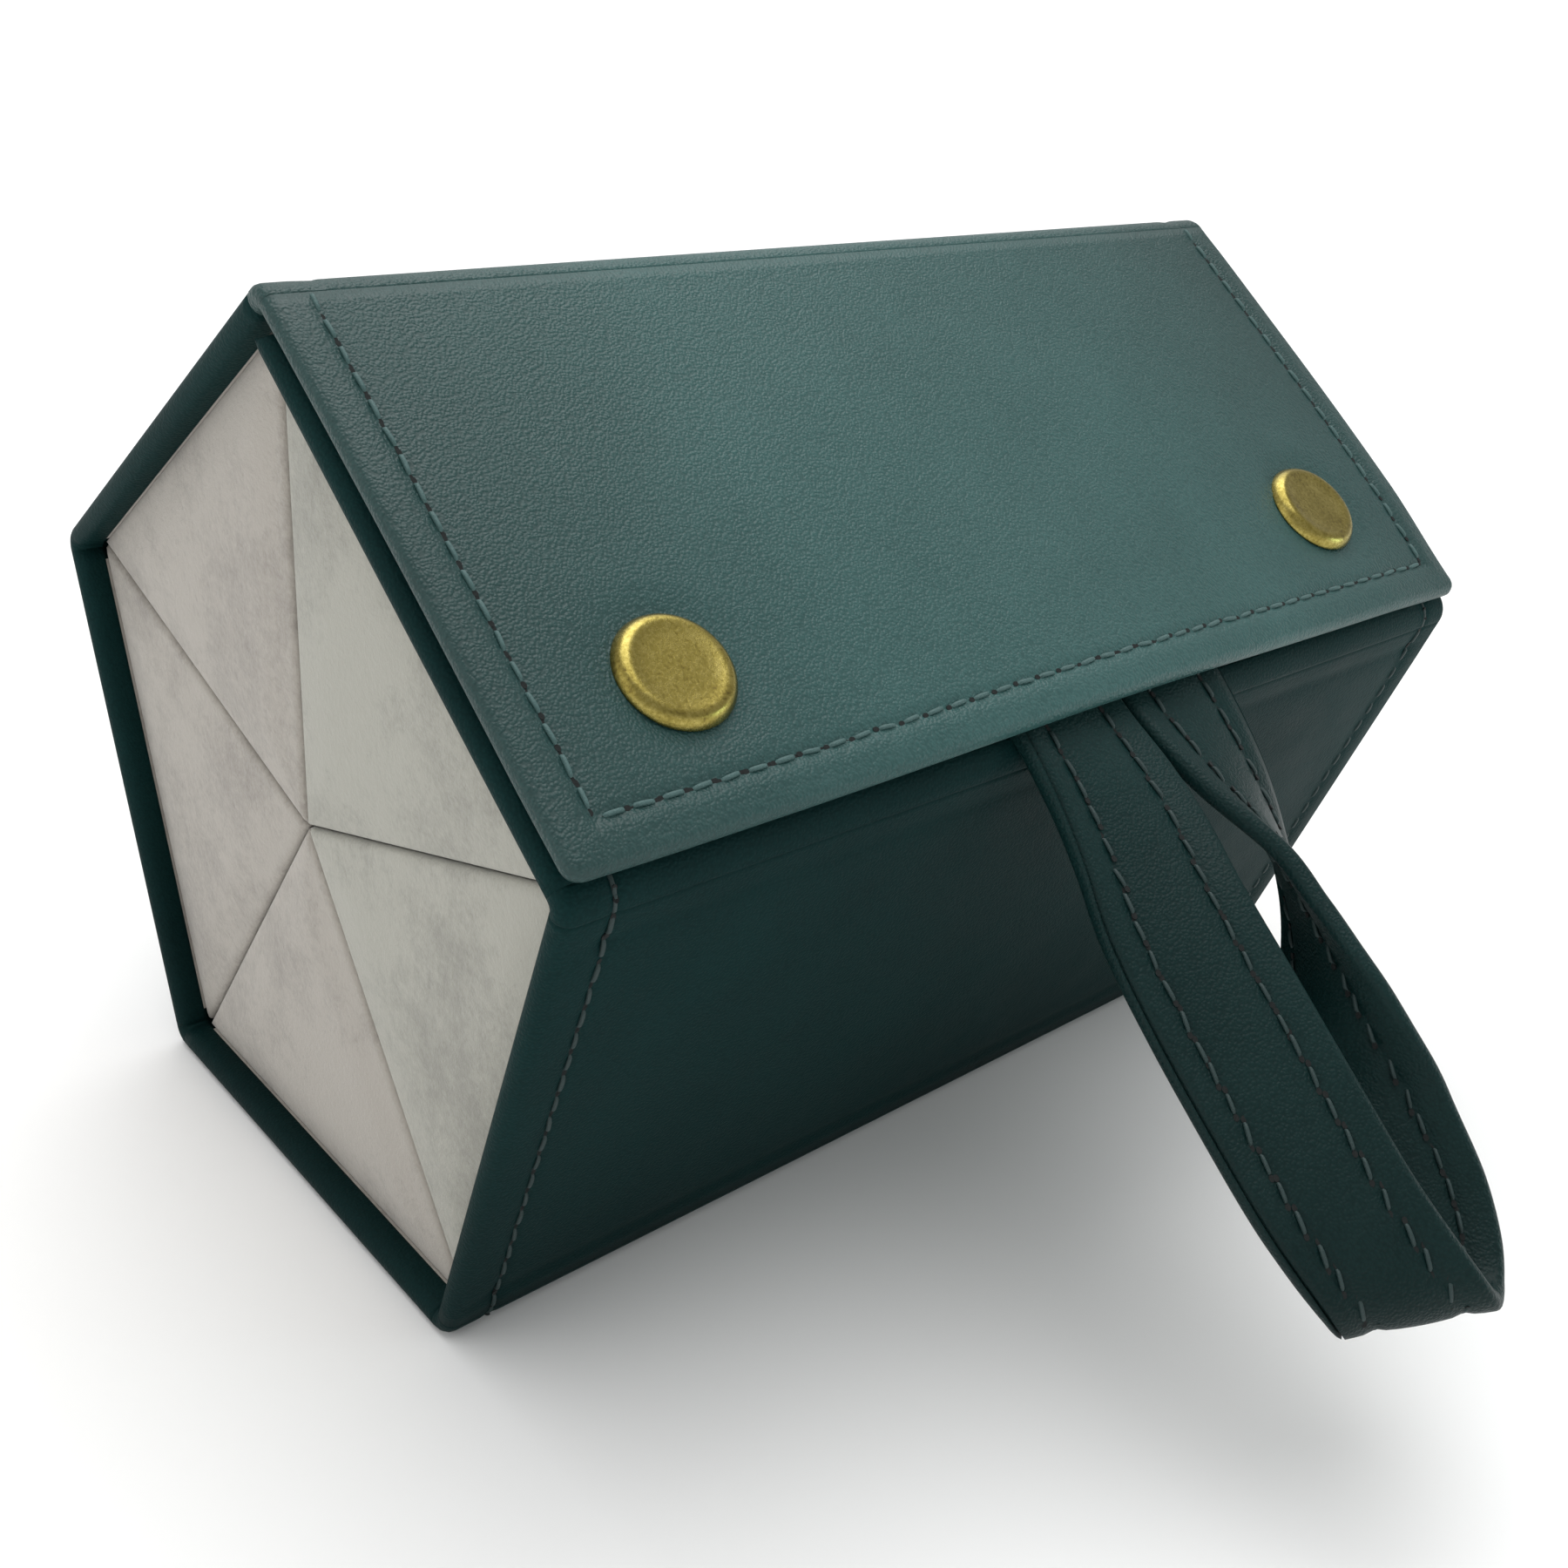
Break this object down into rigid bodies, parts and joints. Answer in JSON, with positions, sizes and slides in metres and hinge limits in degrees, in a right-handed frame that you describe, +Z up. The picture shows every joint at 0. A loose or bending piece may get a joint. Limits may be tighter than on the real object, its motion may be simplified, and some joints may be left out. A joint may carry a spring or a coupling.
{
  "type": "roll-up compartment case",
  "caption": "Pentagonal leather roll-up case of wedge-shaped lined compartments, closed by a snap flap, with leather hinges and a wrist strap.",
  "frame": {"origin": "middle of the base panel's outer face", "axes": "+Z up, +Y along the case, +X towards the flap's free edge"},
  "size_m": [0.1961, 0.168, 0.1244],
  "materials": {
    "flap_leather": "fine grain, soft sheen",
    "case_leather": "fine grain, soft sheen",
    "lining_leather": "smooth, matt",
    "strap_leather": "fine grain, soft sheen",
    "greyboard": "matt",
    "interlining": "matt",
    "microfibre": "suede nap, matt",
    "spring_steel": "plain",
    "antique_brass": "antiqued, satin"
  },
  "bodies": {
    "base": {"board_base": "greyboard", "cover_base": "case_leather", "end_wall_far_base": "microfibre", "end_wall_near_base": "microfibre", "lining_base": "microfibre", "partition_base": "microfibre", "hinge_c": "case_leather", "hinge_d": "case_leather"},
    "front_lower": {"board_front_lower": "greyboard", "cover_front_lower": "case_leather", "end_wall_far_front_lower": "microfibre", "end_wall_near_front_lower": "microfibre", "lining_front_lower": "microfibre", "partition_front_lower": "microfibre", "hinge_e": "case_leather"},
    "front_upper": {"board_front_upper": "greyboard", "cover_front_upper": "case_leather", "end_wall_far_front_upper": "microfibre", "end_wall_near_front_upper": "microfibre", "lining_front_upper": "microfibre", "partition_front_upper": "microfibre", "snap_stud_near": "antique_brass", "snap_stud_far": "antique_brass", "snap_eyelet_near": "antique_brass", "snap_eyelet_far": "antique_brass", "strap_tail_near": "strap_leather", "strap_tail_far": "strap_leather"},
    "rear_upper": {"board_rear_upper": "greyboard", "cover_rear_upper": "case_leather", "end_wall_far_rear_upper": "microfibre", "end_wall_near_rear_upper": "microfibre", "lining_rear_upper": "microfibre", "partition_rear_upper": "microfibre"},
    "rear_lower": {"board_rear_lower": "greyboard", "cover_rear_lower": "case_leather", "end_wall_far_rear_lower": "microfibre", "end_wall_near_rear_lower": "microfibre", "lining_rear_lower": "microfibre", "partition_rear_lower": "microfibre", "hinge_b": "case_leather"},
    "flap": {"flap_outer": "flap_leather", "flap_interlining": "interlining", "flap_inner": "lining_leather", "hinge_a": "flap_leather", "snap_cap_near": "antique_brass", "snap_cap_far": "antique_brass", "snap_socket_near": "antique_brass", "snap_socket_far": "antique_brass", "snap_ring_near": "spring_steel", "snap_ring_far": "spring_steel"},
    "strap": {"strap_loop": "strap_leather"}
  },
  "joints": [
    {"name": "hinge_c_unroll", "type": "hinge", "parent": "base", "child": "rear_lower", "pos_m": [-0.04, 0, 0], "axis": [0, -1, 0], "range_deg": [0, 72], "deforming": ["hinge_c"]},
    {"name": "hinge_b_unroll", "type": "hinge", "parent": "rear_lower", "child": "rear_upper", "pos_m": [-0.06472, 0, 0.07608], "axis": [0, -1, 0], "range_deg": [0, 72], "deforming": ["hinge_b"]},
    {"name": "flap_hinge", "type": "hinge", "parent": "rear_upper", "child": "flap", "pos_m": [0.0034, 0, 0.12558], "axis": [0, -1, 0], "range_deg": [0, 72], "deforming": ["hinge_a", "snap_ring_near", "snap_ring_far"]},
    {"name": "hinge_d_unroll", "type": "hinge", "parent": "base", "child": "front_lower", "pos_m": [0.04, 0, 0], "axis": [0, 1, 0], "range_deg": [0, 72], "deforming": ["hinge_d"]},
    {"name": "hinge_e_unroll", "type": "hinge", "parent": "front_lower", "child": "front_upper", "pos_m": [0.06472, 0, 0.07608], "axis": [0, 1, 0], "range_deg": [0, 72], "deforming": ["hinge_e", "strap_loop", "flap_outer", "flap_interlining", "flap_inner", "snap_cap_near", "snap_cap_far", "snap_socket_near", "snap_socket_far"]},
    {"name": "strap_swing", "type": "hinge", "parent": "front_upper", "child": "strap", "pos_m": [0.06548, 0, 0.07628], "axis": [0, -1, 0], "range_deg": [-32, 70]}
  ],
  "couplings": [
    {"joint": "hinge_b_unroll", "follows": "hinge_c_unroll", "ratio": 1},
    {"joint": "hinge_d_unroll", "follows": "hinge_c_unroll", "ratio": 1},
    {"joint": "hinge_e_unroll", "follows": "hinge_c_unroll", "ratio": 1}
  ]
}
